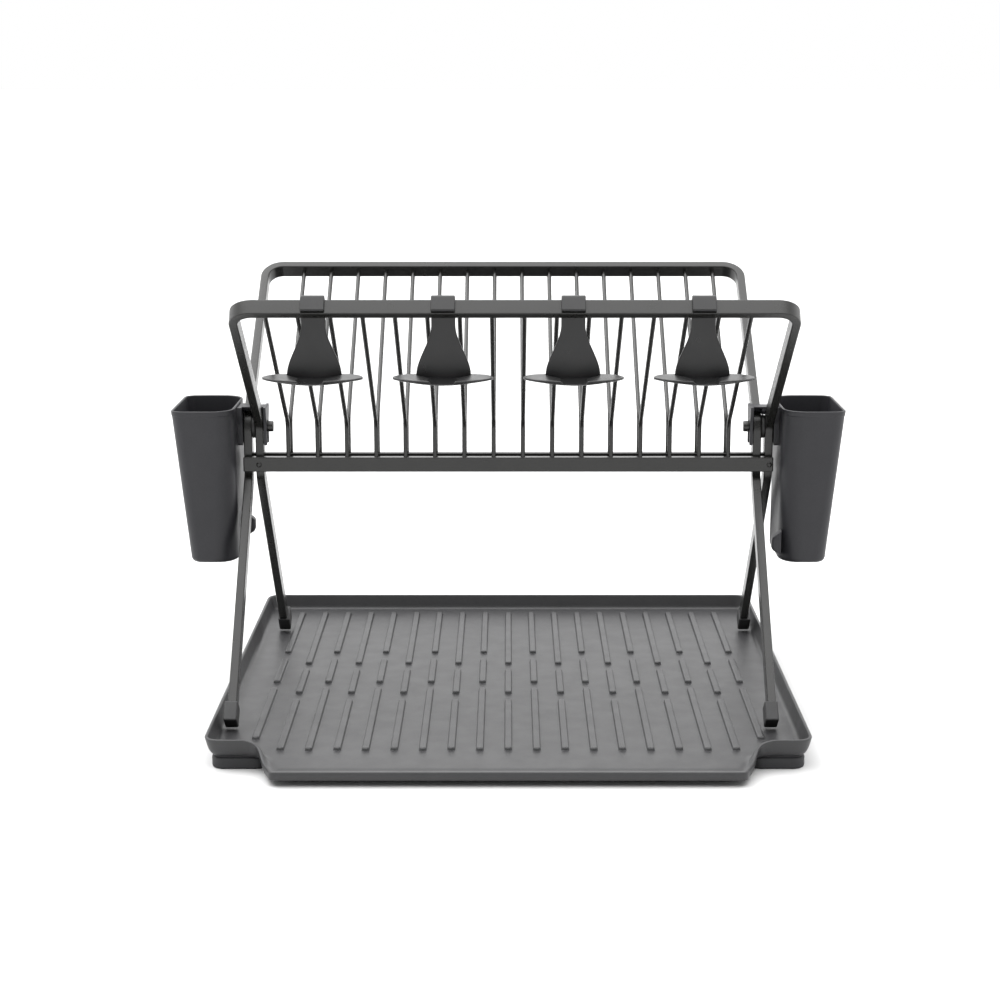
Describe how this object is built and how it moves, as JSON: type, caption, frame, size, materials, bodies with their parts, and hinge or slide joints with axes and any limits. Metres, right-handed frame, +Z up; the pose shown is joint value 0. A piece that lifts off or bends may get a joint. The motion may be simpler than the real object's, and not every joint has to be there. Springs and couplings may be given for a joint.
{
  "type": "folding dish and bottle drying rack",
  "caption": "Folding X-frame drying rack with wire plate slots, clip-on glass and bottle holders, hanging side pots and a ribbed drip tray with a pouring spout.",
  "frame": {"origin": "middle of the object's footprint at table level", "axes": "+X to the object's right seen from its spout side, +Y to the rear, away from the spout, +Z up"},
  "size_m": [0.5646, 0.481, 0.3645],
  "materials": {
    "coated_steel": "satin anthracite powder coat",
    "tray_plastic": "fine matte grain, dark grey",
    "pot_plastic": "satin matte, dark grey",
    "holder_plastic": "satin matte, dark grey",
    "cap_plastic": "soft matte, near black",
    "foot_rubber": "soft matte"
  },
  "bodies": {
    "tray": {"tray": "tray_plastic", "tray_foot_front_left": "foot_rubber", "tray_foot_front_right": "foot_rubber", "tray_foot_rear_left": "foot_rubber", "tray_foot_rear_right": "foot_rubber"},
    "hinge": {"hinge_pin_left": "coated_steel", "hinge_pin_right": "coated_steel", "hinge_spacer_left": "cap_plastic", "hinge_spacer_right": "cap_plastic"},
    "front_rack": {"frame_front": "coated_steel", "cross_bar_front": "coated_steel", "leg_cap_front_left": "cap_plastic", "leg_cap_front_right": "cap_plastic", "rivet_front_left": "coated_steel", "rivet_front_right": "coated_steel", "wire_front_01": "coated_steel", "wire_front_02": "coated_steel", "wire_front_03": "coated_steel", "wire_front_04": "coated_steel", "wire_front_05": "coated_steel", "wire_front_06": "coated_steel", "wire_front_07": "coated_steel", "wire_front_08": "coated_steel", "wire_front_09": "coated_steel", "wire_front_10": "coated_steel", "wire_front_11": "coated_steel", "wire_front_12": "coated_steel", "wire_front_13": "coated_steel", "wire_front_14": "coated_steel", "wire_front_15": "coated_steel", "wire_front_16": "coated_steel", "holder_1": "holder_plastic", "holder_2": "holder_plastic", "holder_3": "holder_plastic", "holder_4": "holder_plastic"},
    "rear_rack": {"frame_rear": "coated_steel", "cross_bar_rear": "coated_steel", "leg_cap_rear_left": "cap_plastic", "leg_cap_rear_right": "cap_plastic", "rivet_rear_left": "coated_steel", "rivet_rear_right": "coated_steel", "wire_rear_01": "coated_steel", "wire_rear_02": "coated_steel", "wire_rear_03": "coated_steel", "wire_rear_04": "coated_steel", "wire_rear_05": "coated_steel", "wire_rear_06": "coated_steel", "wire_rear_07": "coated_steel", "wire_rear_08": "coated_steel", "wire_rear_09": "coated_steel", "wire_rear_10": "coated_steel", "wire_rear_11": "coated_steel", "wire_rear_12": "coated_steel", "wire_rear_13": "coated_steel", "wire_rear_14": "coated_steel", "wire_rear_15": "coated_steel", "wire_rear_16": "coated_steel"},
    "pot_left": {"pot_left": "pot_plastic"},
    "pot_right": {"pot_right": "pot_plastic"}
  },
  "joints": [
    {"name": "rack_lift", "type": "slide", "parent": "tray", "child": "hinge", "axis": [0, 0, 1], "range_m": [0, 0.135]},
    {"name": "fold_front", "type": "hinge", "parent": "hinge", "child": "front_rack", "pos_m": [0, 0.0115, 0.234], "axis": [-1, 0, 0], "range_deg": [0, 44]},
    {"name": "fold_rear", "type": "hinge", "parent": "hinge", "child": "rear_rack", "pos_m": [0, 0.0115, 0.234], "axis": [1, 0, 0], "range_deg": [0, 44]},
    {"name": "pot_lift_left", "type": "slide", "parent": "hinge", "child": "pot_left", "axis": [0, 0, 1], "range_m": [0, 0.16]},
    {"name": "pot_lift_right", "type": "slide", "parent": "hinge", "child": "pot_right", "axis": [0, 0, 1], "range_m": [0, 0.16]}
  ],
  "couplings": [
    {"joint": "fold_rear", "follows": "fold_front", "ratio": 1},
    {"joint": "rack_lift", "follows": "fold_front", "m_per_rad": 0.172},
    {"joint": "pot_lift_left", "follows": "fold_front", "m_per_rad": 0.2},
    {"joint": "pot_lift_right", "follows": "fold_front", "m_per_rad": 0.2}
  ]
}
